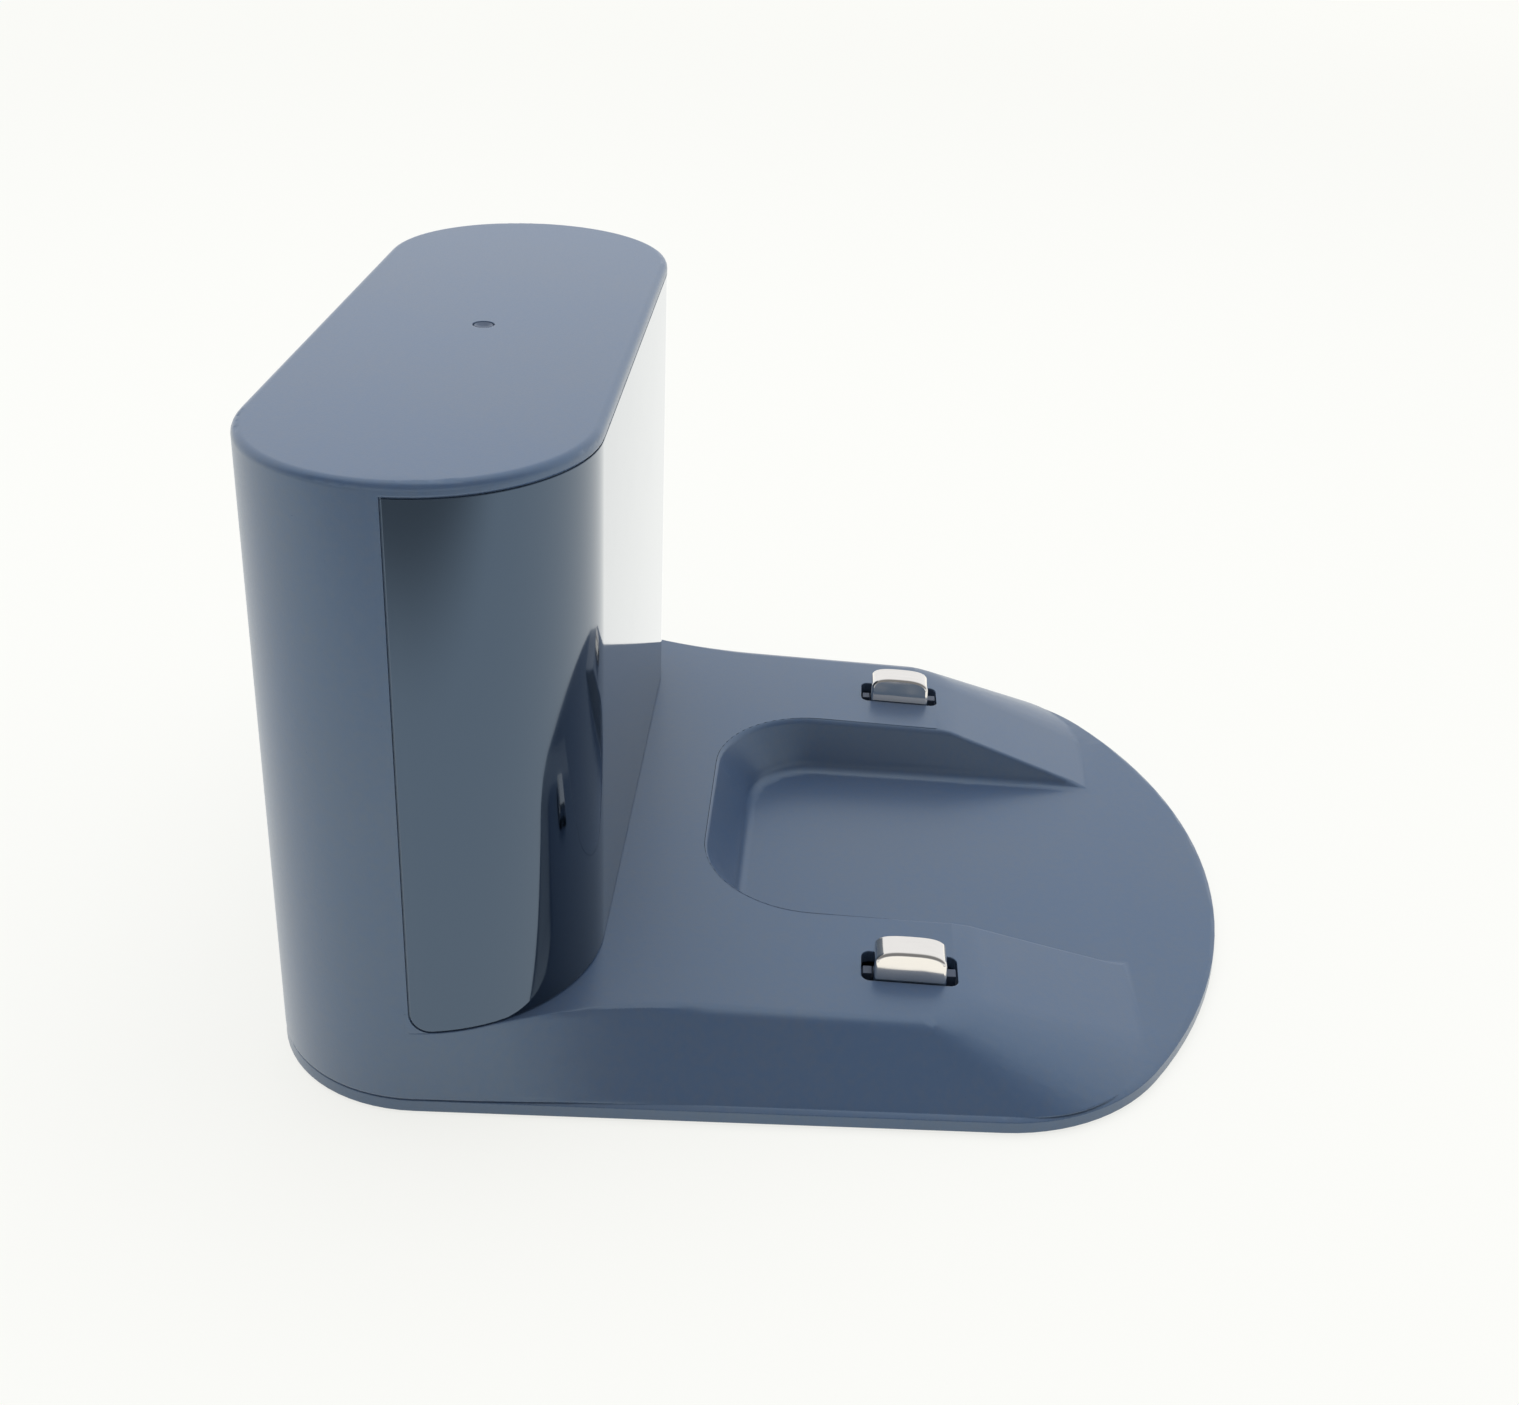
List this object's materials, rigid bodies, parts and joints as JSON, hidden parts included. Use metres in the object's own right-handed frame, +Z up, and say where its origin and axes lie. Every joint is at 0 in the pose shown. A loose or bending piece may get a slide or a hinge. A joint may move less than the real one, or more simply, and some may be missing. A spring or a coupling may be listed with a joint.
{
  "type": "robot vacuum charging dock",
  "caption": "Robot vacuum charging dock: low base with ramps and a front recess, sprung contacts on the deck, and a rounded tower with a glossy front cover and a rear cord bay.",
  "frame": {"origin": "on the floor under the middle of the dock's overall box", "axes": "X runs across the dock, -Y points from the tower towards the nose that the robot drives up, +Y to the tower's back, and +Z up from the floor"},
  "size_m": [0.13, 0.151, 0.098],
  "materials": {
    "slate_plastic": "fine satin texture",
    "polished_plastic": "mirror polish",
    "plated_contact": "bright nickel plate",
    "carrier_plastic": "plain moulded",
    "spring_steel": "bright drawn wire",
    "screw_steel": "zinc plated",
    "terminal_brass": "tinned sheet",
    "foot_rubber": "soft matte",
    "inlet_plastic": "black moulded",
    "pin_metal": "nickel plate",
    "light_plastic": "frosted clear",
    "board_laminate": "solder mask",
    "ferrite": "pressed and ground",
    "winding_tape": "polyester tape",
    "capacitor_sleeve": "shrink sleeve",
    "film_case": "moulded box",
    "fuse_body": "plated caps on a white tube",
    "sink_metal": "extruded",
    "device_case": "moulded epoxy",
    "holder_plastic": "black moulded",
    "emitter_lens": "dark tinted",
    "status_lens": "milky",
    "mains_wire": "smooth insulation",
    "contact_wire": "smooth insulation"
  },
  "bodies": {
    "dock": {"upper_housing": "slate_plastic", "front_cover": "polished_plastic", "bottom_cover": "slate_plastic", "rubber_feet": "foot_rubber", "cover_screws": "screw_steel", "left_contact_spring": "spring_steel", "right_contact_spring": "spring_steel", "left_contact_terminal": "terminal_brass", "right_contact_terminal": "terminal_brass", "light_pipe": "light_plastic", "status_led": "status_lens", "mains_inlet": "inlet_plastic", "inlet_pins": "pin_metal", "main_board": "board_laminate", "board_screws": "screw_steel", "transformer_core": "ferrite", "transformer_winding": "winding_tape", "bulk_capacitor": "capacitor_sleeve", "output_capacitor": "capacitor_sleeve", "safety_capacitor": "film_case", "line_fuse": "fuse_body", "heat_sink": "sink_metal", "power_transistor": "device_case", "emitter_holder": "holder_plastic", "emitter_leds": "emitter_lens", "mains_leads": "mains_wire", "contact_leads": "contact_wire"},
    "left_contact": {"left_contact_cap": "plated_contact", "left_contact_carrier": "carrier_plastic"},
    "right_contact": {"right_contact_cap": "plated_contact", "right_contact_carrier": "carrier_plastic"},
    "lid": {"rear_lid": "slate_plastic"}
  },
  "joints": [
    {"name": "left_contact_press", "type": "slide", "parent": "dock", "child": "left_contact", "axis": [0, 0, -1], "range_m": [0, 0.003], "stiffness_N_per_m": 300, "springref_m": -0.002, "deforming": ["left_contact_spring"]},
    {"name": "right_contact_press", "type": "slide", "parent": "dock", "child": "right_contact", "axis": [0, 0, -1], "range_m": [0, 0.003], "stiffness_N_per_m": 300, "springref_m": -0.002, "deforming": ["right_contact_spring"]},
    {"name": "lid_draw", "type": "slide", "parent": "dock", "child": "lid", "axis": [0, 1, 0], "range_m": [0, 0.06]}
  ]
}
